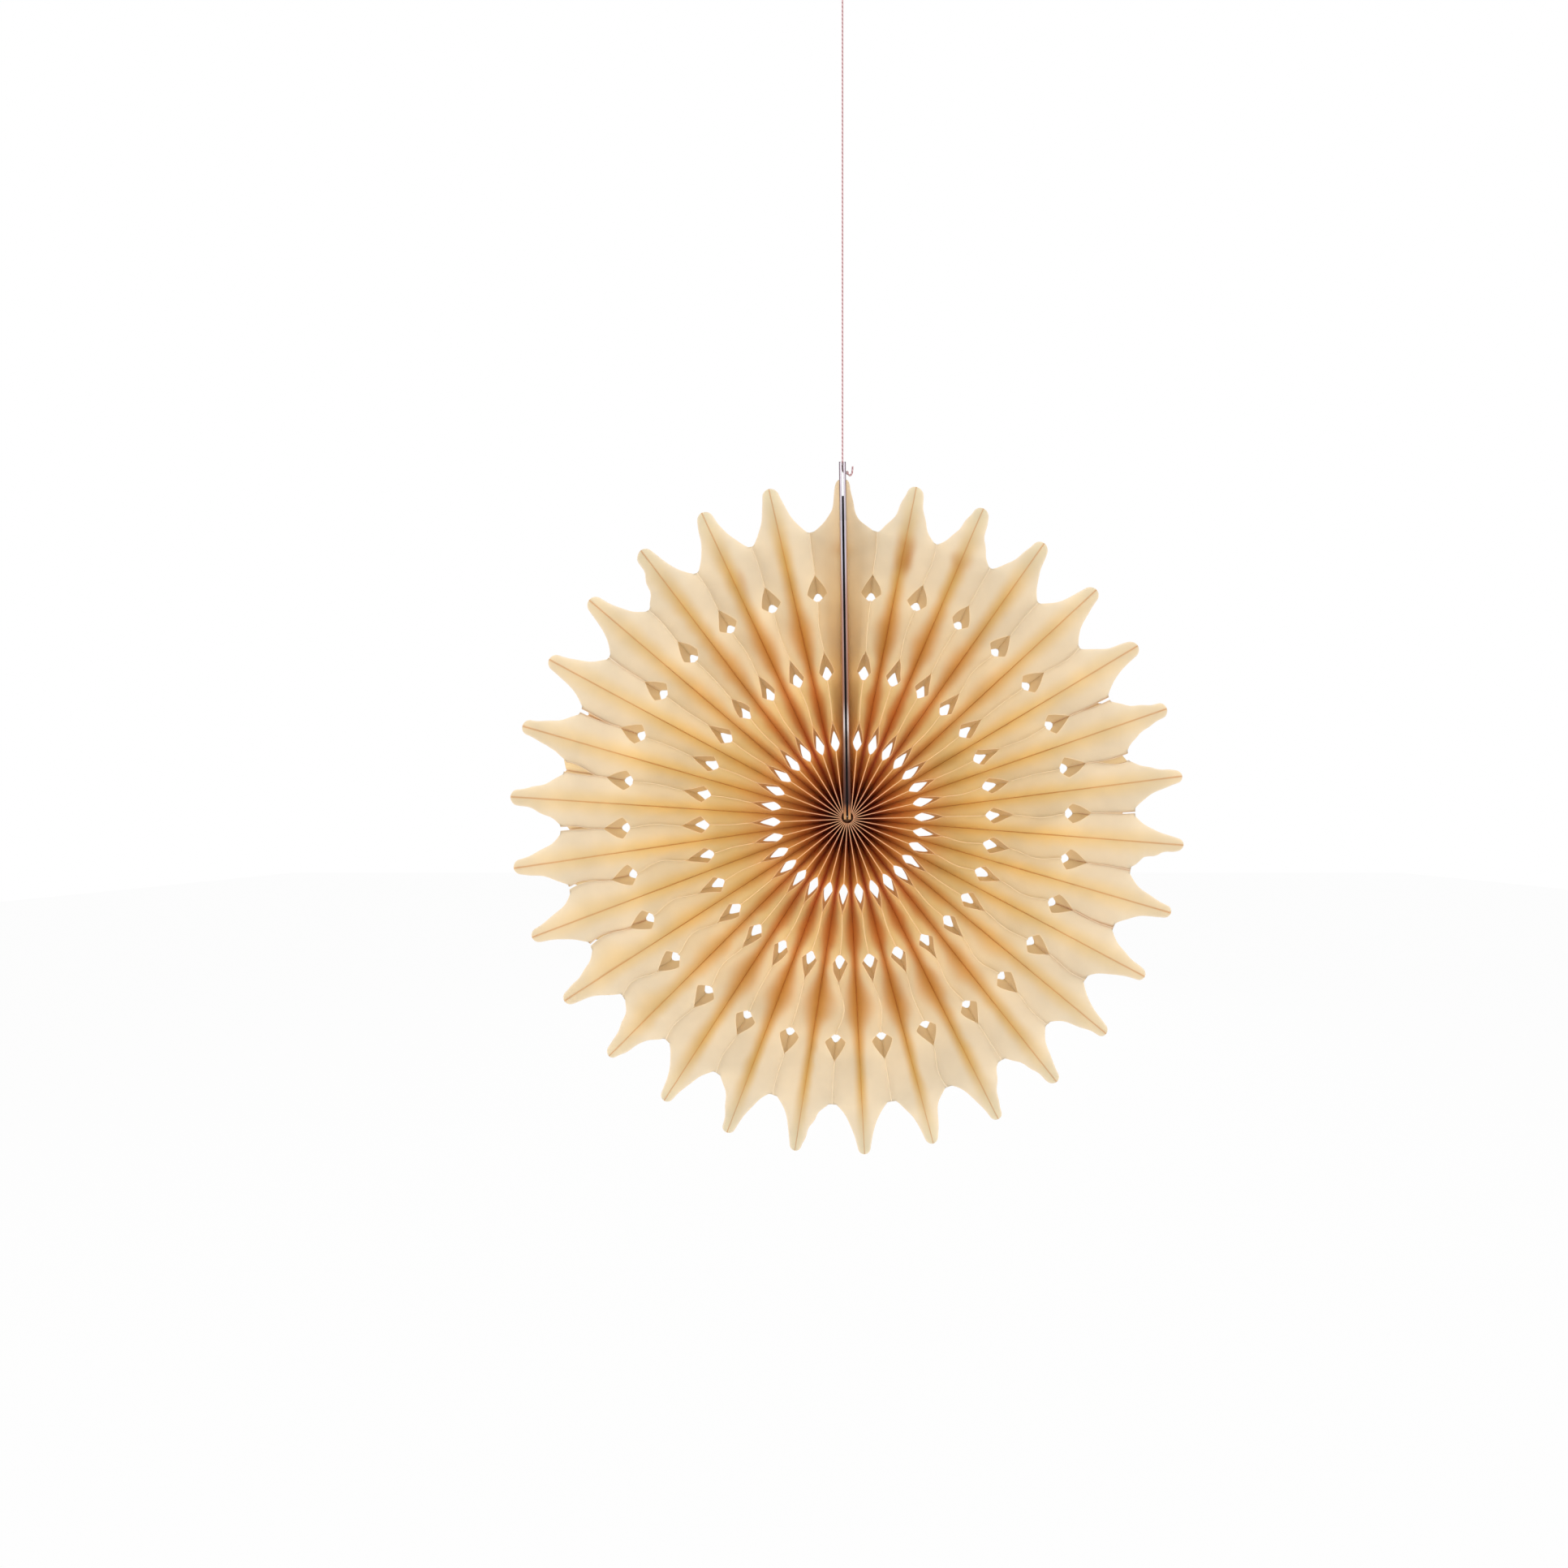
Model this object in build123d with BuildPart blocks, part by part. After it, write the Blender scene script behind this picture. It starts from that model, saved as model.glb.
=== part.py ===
from build123d import *
import os
from math import asin, cos, degrees, radians, sin, sqrt

# Paper fan rosette, opened right round and hung from a thread.
# Millimetres and degrees. The origin is the middle of the rosette, on its axis.
# +Z is up, the rosette faces -Y, and the two boards stand at twelve o'clock.
# Each cell is two die-cut tissue sheets glued together along their front and
# rear edges. Neighbouring cells are glued along a line at mid-depth, and those
# lines run out to the tips. The tissue is thicker here than real tissue.

os.makedirs("parts", exist_ok=True)

# Rosette
cell_count = 30
tip_radius = 200.0
notch_radius = 168.0

# Tissue strip, as it is cut and glued
notch_seam_height = 7.6
tip_seam_height = 3.0
sheet_thickness = 0.4
glue_half_width = 1.5
tip_half_width = 3.8
tip_drop = 2.8
flank_radius = 181.0
flank_half_width = 8.6

# Distances from the axis of the creases across a panel, where its slope changes
crease_radii = [20.0, 80.0, 130.0]

# Leaf, kite and slim diamond holes, punched through front and rear seams
leaf_inner_end = 125.0
leaf_length = 16.5
leaf_half_width = 5.6
leaf_shoulder = 7.2
leaf_base_half_width = 4.7
leaf_base = 4.2
kite_inner_end = 78.5
kite_length = 17.0
kite_half_width = 4.3
kite_shoulder = 7.4
diamond_inner_end = 37.8
diamond_length = 17.4
diamond_half_width = 2.9
diamond_shoulder = 7.4

# The hand-opened folds are turned a little and are not quite evenly spread
board_lean = 0.8
spread_drift = 1.16
spread_drift_angle = 23.0

# Boards
board_thickness = 1.4
board_gap = 1.2
board_half_width = 17.5
board_shoulder_radius = 168.0
board_tip_radius = 211.0
board_tip_half_width = 3.6
board_tip_drop = 2.6
board_flank_sag = 3.0
board_inner_end = -1.2
thread_hole_radius = 0.8
thread_hole_below_tip = 6.0

# Adhesive tape between the boards
tape_half_width = 6.0
tape_inner_end = 0.6
tape_outer_end = 188.0

# Thread, its knots and its loop
thread_diameter = 1.0
thread_sides = 6
thread_bend_radius = 1.0
thread_top = 492.0
knot_radius = 1.25
knot_height = 1.8
knot_chamfer = 0.5
loop_radius = 6.0
tail_points = [(4.6, -2.2), (5.9, -0.4), (6.1, 3.8)]
tail_bend_radii = [1.0, 1.4]

# Clearances, and how near two corners have to be to count as one
hub_clearance = 0.6
slit_half_width = 0.12
radius_step = 0.1
same_point = 0.001

# Sizes that follow from those
board_pack_half = board_thickness + board_gap / 2
hub_radius = board_pack_half + hub_clearance
notch_half_width = notch_radius * sin(radians(180 / cell_count))
panel_width = sqrt(notch_half_width**2 + (notch_seam_height - glue_half_width) ** 2)
thread_hole_height = board_tip_radius - thread_hole_below_tip
thread_radius = thread_diameter / 2


def fold_turn(line):
    """How far glue line `line` is turned from its even place, clockwise in degrees."""
    even = 360 / cell_count * line
    drift = cos(radians(even - spread_drift_angle)) - cos(radians(spread_drift_angle))
    return spread_drift * drift - board_lean


def fold_angle(line, radius):
    """Clockwise angle of glue line `line` at a distance from the axis, with room for the boards."""
    beside_boards = degrees(asin(board_pack_half / radius))
    return fold_turn(line) + beside_boards + line / cell_count * (360 - 2 * beside_boards)


def front_view(angle, radius, across=0.0):
    """Point (x, z) at a clockwise angle and a distance from the axis, moved clockwise by `across`."""
    turn = radians(angle)
    return Vector(radius * sin(turn) + across * cos(turn), radius * cos(turn) - across * sin(turn))


def cell_sides(cell, radius):
    """The left and right glue lines of a cell, in the front view."""
    left = front_view(fold_angle(cell, radius), radius)
    right = front_view(fold_angle(cell + 1, radius), radius)
    return left, right


def half_width(cell, radius):
    """Half of the distance between the two glue lines of a cell."""
    left, right = cell_sides(cell, radius)
    return (right - left).length / 2


def seam_height(cell, radius):
    """Height of the glued seams above mid-depth, from the width of a panel."""
    if radius > notch_radius:
        return tip_seam_height
    return glue_half_width + sqrt(panel_width**2 - half_width(cell, radius) ** 2)


def all_round(side, low, seam, high):
    """The corners of a section, from those of its front right quarter."""
    front = [(side, -low), (seam, -high), (-seam, -high), (-side, -low)]
    return front + [(x, -y) for x, y in reversed(front)]


def outer_corners(cell, radius):
    """Flat glue land at each side, and a seam in front and behind, blunt only at the hub."""
    half = half_width(cell, radius)
    seam = 0 if radius > hub_radius else half
    return all_round(half, glue_half_width, seam, seam_height(cell, radius))


def inner_corners(cell, radius):
    """The hollow of a cell, one sheet thickness in from its outside."""
    half, height = half_width(cell, radius), seam_height(cell, radius)
    rise = height - glue_half_width
    drop = sheet_thickness * sqrt(half**2 + rise**2) / half
    low = glue_half_width - drop + sheet_thickness * rise / half
    return all_round(half - sheet_thickness, low, 0, height - drop)


def section_loop(cell, radius, corners):
    """Corners (across, depth) of one section, stood across a cell at a distance from the axis."""
    left, right = cell_sides(cell, radius)
    middle, across = (left + right) / 2, (right - left).normalized()
    points = [(middle + across * x, y) for x, y in corners]
    return [Vector(p.X, y, p.Y) for p, y in points]


def flat_facet(corners):
    """Flat face through corners, or nothing where corners that fall together leave no area."""
    apart = [p for i, p in enumerate(corners) if (p - corners[i - 1]).length > same_point]
    return [Face(Wire.make_polygon(apart))] if len(apart) > 2 else []


def creased_tube(loops):
    """Closed solid with flat three-cornered facets from each loop of corners to the next."""
    facets = flat_facet(loops[0]) + flat_facet(loops[-1])
    for near, far in zip(loops, loops[1:]):
        for i, corner in enumerate(near):
            j = (i + 1) % len(near)
            if i % 4 == 0:
                facets += flat_facet([corner, near[j], far[i]]) + flat_facet([near[j], far[j], far[i]])
            else:
                facets += flat_facet([corner, near[j], far[j]]) + flat_facet([corner, far[j], far[i]])
    return Solid(Shell(facets))


# Inside the parting radius the sheets lie pressed together, with no hollow between them
parting_radius = hub_radius
while half_width(cell_count // 2, parting_radius) < sheet_thickness + slit_half_width:
    parting_radius += radius_step
open_radii = crease_radii + [tip_radius + sheet_thickness]


def cell_outside(cell):
    """Whole outside of a cell, before its points and holes are cut."""
    radii = [hub_radius] + open_radii
    return creased_tube([section_loop(cell, r, outer_corners(cell, r)) for r in radii])


def cell_hollow(cell):
    """Space between the two sheets of a cell, open at the outer end."""
    radii = [parting_radius] + open_radii
    return creased_tube([section_loop(cell, r, inner_corners(cell, r)) for r in radii])


def seam_point(cell, radius, across=0.0):
    """Point of the front view on the seam of a cell, or beside it."""
    angle = (fold_angle(cell, radius) + fold_angle(cell + 1, radius)) / 2
    return front_view(angle, radius, across)


def half_tip(line, side):
    """Cut edge from the tip on a glue line down one flank, as points of the front view."""
    angle = fold_angle(line, tip_radius)
    return [
        front_view(angle, tip_radius),
        front_view(angle, tip_radius - tip_drop, side * tip_half_width),
        front_view(angle, flank_radius, side * flank_half_width),
    ]


# The right half of each hole, as (distance out from its inner end, distance across)
leaf = [(0, 0), (leaf_base, leaf_base_half_width), (leaf_shoulder, leaf_half_width), (leaf_length, 0)]
kite = [(0, 0), (kite_shoulder, kite_half_width), (kite_length, 0)]
diamond = [(0, 0), (diamond_shoulder, diamond_half_width), (diamond_length, 0)]
punched_holes = [(leaf_inner_end, leaf), (kite_inner_end, kite), (diamond_inner_end, diamond)]

# Tissue cells, cut to their points and punched
for cell in range(cell_count):
    cell_name = f"tissue_cell_{cell + 1:02d}"
    clear_width = 2 * half_width(cell, tip_radius)
    with BuildPart() as tissue_cell:
        add(cell_outside(cell))
        add(cell_hollow(cell), mode=Mode.SUBTRACT)
        with BuildSketch(Plane.XZ):
            with BuildLine():
                Polyline(
                    *half_tip(cell, 1),
                    seam_point(cell, notch_radius),
                    *reversed(half_tip(cell + 1, -1)),
                    seam_point(cell, tip_radius, clear_width),
                    seam_point(cell, tip_radius + clear_width, 0),
                    seam_point(cell, tip_radius, -clear_width),
                    close=True,
                )
            make_face()
            for inner_end, right_half in punched_holes:
                outline = [seam_point(cell, inner_end + out, across) for out, across in right_half]
                left_half = reversed(right_half[1:-1])
                outline += [seam_point(cell, inner_end + out, -across) for out, across in left_half]
                with BuildLine():
                    Polyline(*outline, close=True)
                make_face()
        extrude(amount=panel_width + glue_half_width, both=True, mode=Mode.SUBTRACT)
    tissue_cell.part.label = cell_name
    export_step(tissue_cell.part, f"parts/{cell_name}.step")

# Boards, flat against the first and the last cell, with their cut edges to the front
lean = radians(board_lean)
board_plane = Plane(origin=(0, 0, 0), x_dir=(0, 1, 0), z_dir=(cos(lean), 0, sin(lean)))
for label, face_offset in (
    ("board_left", -board_pack_half),
    ("board_right", board_gap / 2),
):
    with BuildPart() as board:
        with BuildSketch(board_plane.offset(face_offset)) as board_outline:
            with BuildLine() as half_outline:
                inner_corner = (board_half_width, board_inner_end)
                shoulder = (board_half_width, board_shoulder_radius)
                tip_side = (board_tip_half_width, board_tip_radius - board_tip_drop)
                Polyline((0, board_inner_end), inner_corner, shoulder)
                SagittaArc(shoulder, tip_side, board_flank_sag)
                TangentArc((0, board_tip_radius), tip_side, tangent=(1, 0))
                Line((0, board_tip_radius), (0, board_inner_end))
            make_face()
            mirror(about=Plane.YZ)
            with Locations((0, thread_hole_height)):
                Circle(thread_hole_radius, mode=Mode.SUBTRACT)
        extrude(amount=board_thickness)
    board.part.label = label
    export_step(board.part, f"parts/{label}.step")

# Tape that sticks the two boards together
with BuildPart() as joining_tape:
    with BuildSketch(board_plane.offset(-board_gap / 2)):
        with Locations((0, (tape_inner_end + tape_outer_end) / 2)):
            Rectangle(2 * tape_half_width, tape_outer_end - tape_inner_end)
    extrude(amount=board_gap)
joining_tape.part.label = "joining_tape"
export_step(joining_tape.part, "parts/joining_tape.step")

# Thread: straight down between the boards, then out through the hole of the right one
hole = board_plane.from_local_coords((0, thread_hole_height, 0))
board_face = board_plane.from_local_coords((0, thread_hole_height, board_pack_half))
with BuildPart() as hanging_thread:
    with BuildLine(Plane.XZ) as thread_path:
        FilletPolyline(
            (hole.X, thread_top),
            (hole.X, hole.Z),
            (board_face.X, hole.Z),
            radius=thread_bend_radius,
        )
    with BuildSketch(thread_path.line ^ 0):
        RegularPolygon(thread_radius, side_count=thread_sides)
    sweep()
hanging_thread.part.label = "hanging_thread"
export_step(hanging_thread.part, "parts/hanging_thread.step")
print("thread bend radius", thread_bend_radius)

# Knot outside the right board, with the short end of the thread curling up from it
with BuildPart() as thread_knot:
    with BuildSketch(board_plane.offset(board_pack_half)):
        with Locations((0, thread_hole_height)):
            RegularPolygon(knot_radius, side_count=thread_sides)
    extrude(amount=knot_height)
    chamfer(faces().sort_by(Axis.X)[-1].edges(), knot_chamfer)
    with BuildLine(Plane.XZ) as tail_path:
        tail = [(hole.X + x, hole.Z + z) for x, z in tail_points]
        FilletPolyline((board_face.X + knot_height / 2, hole.Z), *tail, radius=tail_bend_radii)
    with BuildSketch(tail_path.line ^ 0):
        RegularPolygon(thread_radius, side_count=thread_sides)
    sweep()
thread_knot.part.label = "thread_knot"
export_step(thread_knot.part, "parts/thread_knot.step")
print("thread end bend radii", *tail_bend_radii)

# Loop tied at the top end of the thread
loop_centre = (hole.X, thread_top + knot_height / 2 + loop_radius)
with BuildPart() as thread_loop:
    with BuildLine(Plane.XZ) as loop_path:
        CenterArc(loop_centre, loop_radius, -90, 360)
    with BuildSketch(loop_path.line ^ 0):
        RegularPolygon(thread_radius, side_count=thread_sides)
    sweep()
    with BuildSketch(Plane.XY.offset(thread_top)):
        with Locations((hole.X, 0)):
            RegularPolygon(knot_radius, side_count=thread_sides)
    extrude(amount=knot_height)
thread_loop.part.label = "thread_loop"
export_step(thread_loop.part, "parts/thread_loop.step")
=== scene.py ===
from math import cos, pi, radians, sin, sqrt

import bpy
import numpy as np
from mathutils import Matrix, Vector


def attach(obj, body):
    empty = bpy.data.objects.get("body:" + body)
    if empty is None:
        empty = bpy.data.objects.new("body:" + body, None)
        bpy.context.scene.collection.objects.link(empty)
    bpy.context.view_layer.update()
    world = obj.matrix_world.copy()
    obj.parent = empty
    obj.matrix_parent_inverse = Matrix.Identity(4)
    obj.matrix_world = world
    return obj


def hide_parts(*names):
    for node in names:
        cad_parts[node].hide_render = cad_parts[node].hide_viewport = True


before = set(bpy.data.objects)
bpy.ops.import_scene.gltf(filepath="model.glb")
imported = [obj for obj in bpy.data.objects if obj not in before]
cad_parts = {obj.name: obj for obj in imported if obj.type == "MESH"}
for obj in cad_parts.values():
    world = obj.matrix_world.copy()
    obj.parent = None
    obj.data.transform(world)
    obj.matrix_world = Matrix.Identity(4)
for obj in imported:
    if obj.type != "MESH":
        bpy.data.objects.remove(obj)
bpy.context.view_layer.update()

# Tissue cells
# Each of the thirty cells is two die-cut sheets of dyed tissue, glued face to face along their
# front and rear edges. Neighbours are glued along a line at mid-depth that runs out to a tip.
# The fan was packed flat, so the opened sheets keep soft waves and their seams wander.
cell_count = 30
tip_radius = 0.200
notch_radius = 0.168
notch_drop = tip_radius - notch_radius
notch_seam_height = 0.0076
notch_half_width = notch_radius * sin(pi / cell_count)
glue_half_width = 0.0015
panel_width = sqrt(notch_half_width**2 + (notch_seam_height - glue_half_width) ** 2)
sheet_thickness = 0.0002

# The first and the last glue line lie against the pack of two boards, which leans a little.
# The cells between them are spread a little wider on one side of the fan than on the other.
board_pack_half = 0.0020
hub_radius = 0.0026
spine_rise = 0.0012
board_lean = 0.8
spread_drift = 1.16
spread_drift_angle = 23.0


def fold_turn(line):
    """How far glue line `line` is turned from its even place, clockwise in degrees."""
    even = 360 / cell_count * line
    drift = cos(radians(even - spread_drift_angle)) - cos(radians(spread_drift_angle))
    return spread_drift * drift - board_lean


def glue_line(line, radius):
    """Points (x, z) of glue line `line` in the front view, for an array of radii."""
    beside_boards = np.degrees(np.arcsin(np.minimum(board_pack_half / radius, 1)))
    turn = fold_turn(line) + beside_boards + line / cell_count * (360 - 2 * beside_boards)
    turn = np.radians(turn)
    gathered = spine_rise * np.clip(1 - radius / board_pack_half * 2, 0, 1)
    return np.stack([radius * np.sin(turn), radius * np.cos(turn) + gathered], axis=-1)


# Three holes are punched across every seam. A hole's form is the share of its length at which
# it is widest, and how full its inner and its outer end are.
leaf_inner_end, leaf_length, leaf_half_width = 0.125, 0.0165, 0.0056
kite_inner_end, kite_length, kite_half_width = 0.0785, 0.0170, 0.0044
diamond_inner_end, diamond_length, diamond_half_width = 0.0378, 0.0174, 0.0027
leaf_outer_end = leaf_inner_end + leaf_length
kite_outer_end = kite_inner_end + kite_length
diamond_outer_end = diamond_inner_end + diamond_length
leaf_form = (0.42, 1.12, 1.4)
kite_form = (0.42, 1.05, 1.1)
diamond_form = (0.40, 1.4, 1.25)


def hole_cut(radius, inner_end, length, half_width, form):
    """Half width of a hole at each radius, widest at its shoulder and nothing outside it."""
    shoulder, inner_power, outer_power = form
    along = (radius - inner_end) / length
    inner = np.clip((shoulder - along) / shoulder, 0, 1)
    outer = np.clip((along - shoulder) / (1 - shoulder), 0, 1)
    cut = np.where(along < shoulder, 1 - inner**inner_power, 1 - outer**outer_power)
    inside = (along >= 0) & (along <= 1)
    return np.where(inside, cut * half_width, 0)


def all_holes(radius, size, leaf_shift):
    """Half width of whichever hole lies at each radius."""
    leaf_start = leaf_inner_end + leaf_shift
    leaf = hole_cut(radius, leaf_start, leaf_length, leaf_half_width * size, leaf_form)
    kite = hole_cut(radius, kite_inner_end, kite_length, kite_half_width * size, kite_form)
    diamond = hole_cut(radius, diamond_inner_end, diamond_length, diamond_half_width, diamond_form)
    return leaf + kite + diamond


tip_round = 0.0042
flank_slope = 0.20
flank_spread = 0.0071
flank_power = 3.5


def tip_half_width(drop, end_round):
    """Half width of a tip at a distance in from its end: a round end and hollow flanks."""
    round_end = end_round * np.sqrt(1 - (1 - np.clip(drop / end_round, 0, 1)) ** 2)
    return round_end + flank_slope * drop + flank_spread * (drop / notch_drop) ** flank_power


# A sheet is a grid. Its rows lie across the cell, close together at holes and tips, and its
# columns run outwards, each at one share of the way from the glue line to the cut edge.
hub_rows = [0.15 * hub_radius, 0.45 * hub_radius, hub_radius]
hub_rows += [0.0035, 0.005, 0.007, 0.010, 0.014, 0.018, 0.022, 0.026, 0.030, 0.034, 0.0365]
hole_steps = [0, 0.015, 0.05, 0.1, 0.17, 0.25, 0.34, 0.42]
hole_steps += [0.51, 0.62, 0.71, 0.8, 0.88, 0.94, 0.98, 1]
gaps_between_holes = 8
tip_drops_mm = [32, 30.5, 28.5, 26.5, 24.5, 22.5, 20, 17.5, 15, 12.5, 10, 8, 6.4, 5.2, 4.2, 3.4]
tip_drops_mm += [2.6, 1.9, 1.3, 0.8, 0.4, 0.15, 0.02]
columns = np.array([0, 0.05, 0.12, 0.22, 0.34, 0.47, 0.6, 0.72, 0.82, 0.9, 0.955, 1.0])


def row_radii():
    """Distances of the rows from the axis."""
    rows = list(hub_rows)
    for inner_end, length, following in (
        (diamond_inner_end, diamond_length, kite_inner_end),
        (kite_inner_end, kite_length, leaf_inner_end),
        (leaf_inner_end, leaf_length, notch_radius),
    ):
        outer_end = inner_end + length
        gap = following - outer_end
        rows += [inner_end + length * step for step in hole_steps]
        rows += [outer_end + gap * i / gaps_between_holes for i in range(1, gaps_between_holes)]
    rows += [tip_radius - drop / 1000 for drop in tip_drops_mm]
    return np.array(rows)


radii = row_radii()
bump_power = 1.5


def bump_between(radius, start, end):
    """Smooth rise and fall between two radii, nothing outside them."""
    along = np.clip((radius - start) / (end - start), 0, 1)
    return np.sin(pi * along) ** bump_power


def near_places(angle, places):
    """Sum of sizes, each of which fades off over a width on both sides of a clockwise angle."""
    total = 0
    for size, centre, width in places:
        apart = (angle - centre + 180) % 360 - 180
        total += size * np.exp(-((apart / width) ** 2))
    return total


upright_places = [(1, 0, 45), (1.5, 180, 45)]
valley_swelling, valley_narrowing, outer_narrowing = 0.6, 0.2, 0.15
valley_swellings = [
    (kite_outer_end - 0.004, leaf_inner_end + 0.002),
    (diamond_outer_end - 0.003, kite_inner_end + 0.003),
]


def valley_width(angle, radius):
    """How wide the painted shade of a valley spreads at the top and bottom, widest between the
    rings of holes.
    """
    swollen = sum(bump_between(radius, start, end) for start, end in valley_swellings)
    outer_part = np.clip((radius - leaf_inner_end) / leaf_length, 0, 1)
    change = valley_swelling * swollen - valley_narrowing - outer_narrowing * outer_part
    return 1 + near_places(angle, upright_places) * change


# Between its holes a seam bows to one side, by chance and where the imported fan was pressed.
# Each stretch has a size for the chance, its pressed places and the radii that it lies between.
seam_stretches = [
    (0.0005, [(0.0010, 120, 60), (-0.0008, 190, 40)], diamond_outer_end, kite_inner_end),
    (
        0.0009,
        [(0.0045, 236, 30), (-0.0036, 180, 22), (0.0020, 110, 40), (-0.0015, 20, 40)],
        kite_outer_end,
        leaf_inner_end,
    ),
    (0.0009, [(0.0040, 232, 26), (0.0015, 120, 40)], leaf_outer_end, notch_radius + 0.006),
]


def seam_wander(angle, radius, draw):
    """Sideways shift of a seam, clockwise, between its holes."""
    shift = 0
    for chance, pressed, start, end in seam_stretches:
        bow = draw.normal(0, chance) + near_places(angle, pressed)
        shift = shift + bow * bump_between(radius, start, end)
    return shift


# Between leaf and notch the glue has let go of a few front seams, which gape there.
open_seams = [(1.2, 278, 12), (1, 76, 9), (0.7, 249, 6)]
slit_width, slit_least, slit_most = 0.0052, 0.7, 1.15
slit_start, slit_end = leaf_outer_end + 0.0065, notch_radius - 0.003
slit_power = 1.2


def seam_slit(angle, radius, draw):
    """Width of the slit at a front seam."""
    widest = slit_width * near_places(angle, open_seams) * draw.uniform(slit_least, slit_most)
    along = np.clip((radius - slit_start) / (slit_end - slit_start), 0, 1)
    return widest * np.sin(0.5 * pi * along) ** slit_power


# Seen from the front, a panel stands edge-on at its glue line and at its seam. It bends close
# to both and crosses with an even slope. At the seam the two sheets meet as a narrow fin.
land_bend, seam_bend = 0.02, 0.24
seam_fin, fin_most_share = 0.0012, 0.3
least_reach_share = 0.3
fin_lost_over = 0.0008
wave_count = 3
wave_shortest, wave_longest = 0.010, 0.024
wave_size = 0.00021
wave_full_radius, wave_full_half_width = 0.06, 0.008
panel_steps = np.linspace(0, 1, 60)


def eased_reach(steps):
    """Share of the way across that the panel has come at shares of its depth."""
    covered = 1 - land_bend / 2 - seam_bend / 2
    leaving = steps**2 / (2 * land_bend)
    arriving = covered - (1 - steps) ** 2 / (2 * seam_bend)
    crossing = np.where(steps > 1 - seam_bend, arriving, steps - land_bend / 2)
    return np.where(steps < land_bend, leaving, crossing) / covered


def quarter(half, height, end_across, draw):
    """Grid of points (across, depth) from the glue land to the cut edge, and their places.

    Returns across, depth, the share of the panel covered, and the distance to the cut edge."""
    eased = eased_reach(panel_steps)
    waves = []
    for _ in range(wave_count):
        length = draw.uniform(wave_shortest, wave_longest)
        phase = draw.uniform(0, 2 * pi)
        waves.append((length, phase, draw.normal(0, wave_size)))
    across, depth, share, to_edge = [], [], [], []
    for row, radius in enumerate(radii):
        open_height = height[row] - glue_half_width
        fin = min(seam_fin, fin_most_share * open_height)
        reach = max(half[row] - sheet_thickness, least_reach_share * half[row])
        x = np.append(eased * reach, reach)
        y = np.append(glue_half_width + panel_steps * (open_height - fin), height[row])
        path = np.append(0, np.cumsum(np.hypot(np.diff(x), np.diff(y))))
        panel_end = np.interp(end_across[row], x[:-1], path[:-1])
        cut_back = reach - end_across[row]
        fin_left = (path[-1] - path[-2]) * np.clip(1 - cut_back / fin_lost_over, 0, 1)
        cut_edge = panel_end + fin_left
        at = columns * cut_edge
        wave = sum(size * np.sin(radius / length * 2 * pi + phase) for length, phase, size in waves)
        wave = wave * np.sin(pi * at / path[-1]) * min(1, radius / wave_full_radius)
        across.append(np.interp(at, path, x) + wave * min(1, half[row] / wave_full_half_width))
        depth.append(np.interp(at, path, y) + wave)
        share.append(at / path[-1])
        to_edge.append(cut_edge - at)
    return [np.array(part) for part in (across, depth, share, to_edge)]


shortest_normal = 1e-12


def sheet_shell(outer, thickness):
    """Points and faces of a closed thin sheet from a grid of points on its outer side."""
    rows, cols = outer.shape[:2]
    along_rows, along_cols = np.gradient(outer, axis=0), np.gradient(outer, axis=1)
    normal = np.cross(along_rows, along_cols)
    normal /= np.maximum(np.linalg.norm(normal, axis=2, keepdims=True), shortest_normal)
    points = np.concatenate([outer.reshape(-1, 3), (outer + normal * thickness).reshape(-1, 3)])
    index = np.arange(rows * cols).reshape(rows, cols)
    corners = [index[:-1, :-1], index[1:, :-1], index[1:, 1:], index[:-1, 1:]]
    quads = np.stack(corners, axis=-1).reshape(-1, 4)
    under = quads[:, ::-1] + rows * cols
    ring = np.concatenate([index[0, :-1], index[:-1, -1], index[-1, :0:-1], index[:0:-1, 0]])
    following = np.roll(ring, -1)
    rim = np.stack([ring, following, following + rows * cols, ring + rows * cols], axis=-1)
    return points, np.concatenate([quads, under, rim])


sharp_angle = 50


def add_mesh(name, points, faces, attributes):
    """Smooth-shaded mesh object with sharp cut edges and values painted on its points."""
    mesh = bpy.data.meshes.new(name)
    mesh.from_pydata(points.tolist(), [], faces.tolist())
    for label, values in attributes.items():
        mesh.attributes.new(label, "FLOAT", "POINT").data.foreach_set("value", values)
    mesh.shade_smooth()
    mesh.set_sharp_from_angle(angle=radians(sharp_angle))
    piece = bpy.data.objects.new(name, mesh)
    bpy.context.scene.collection.objects.link(piece)
    return piece


def dye(red, green, blue):
    """Linear colour from the 0 to 255 values that it shows as."""
    shares = [value / 255 for value in (red, green, blue)]
    return [s / 12.92 if s <= 0.04045 else ((s + 0.055) / 1.055) ** 2.4 for s in shares] + [1.0]


def new_material(name):
    """Material, its node tree and its shader."""
    material = bpy.data.materials.new(name)
    material.use_nodes = True
    tree = material.node_tree
    return material, tree, next(node for node in tree.nodes if node.type == "BSDF_PRINCIPLED")


def feed(tree, source, socket):
    """Link an output to a socket, or write a plain value there."""
    if isinstance(source, bpy.types.NodeSocket):
        tree.links.new(source, socket)
    else:
        socket.default_value = source


def arithmetic(tree, operation, *sources, clamp=False):
    """Value from one step of arithmetic on outputs or plain numbers."""
    step = tree.nodes.new("ShaderNodeMath")
    step.operation = operation
    step.use_clamp = clamp
    for source, socket in zip(sources, step.inputs):
        feed(tree, source, socket)
    return step.outputs["Value"]


def vector_arithmetic(tree, operation, *sources):
    """Node for one step of arithmetic on vectors."""
    step = tree.nodes.new("ShaderNodeVectorMath")
    step.operation = operation
    for source, socket in zip(sources, step.inputs):
        feed(tree, source, socket)
    return step


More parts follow.
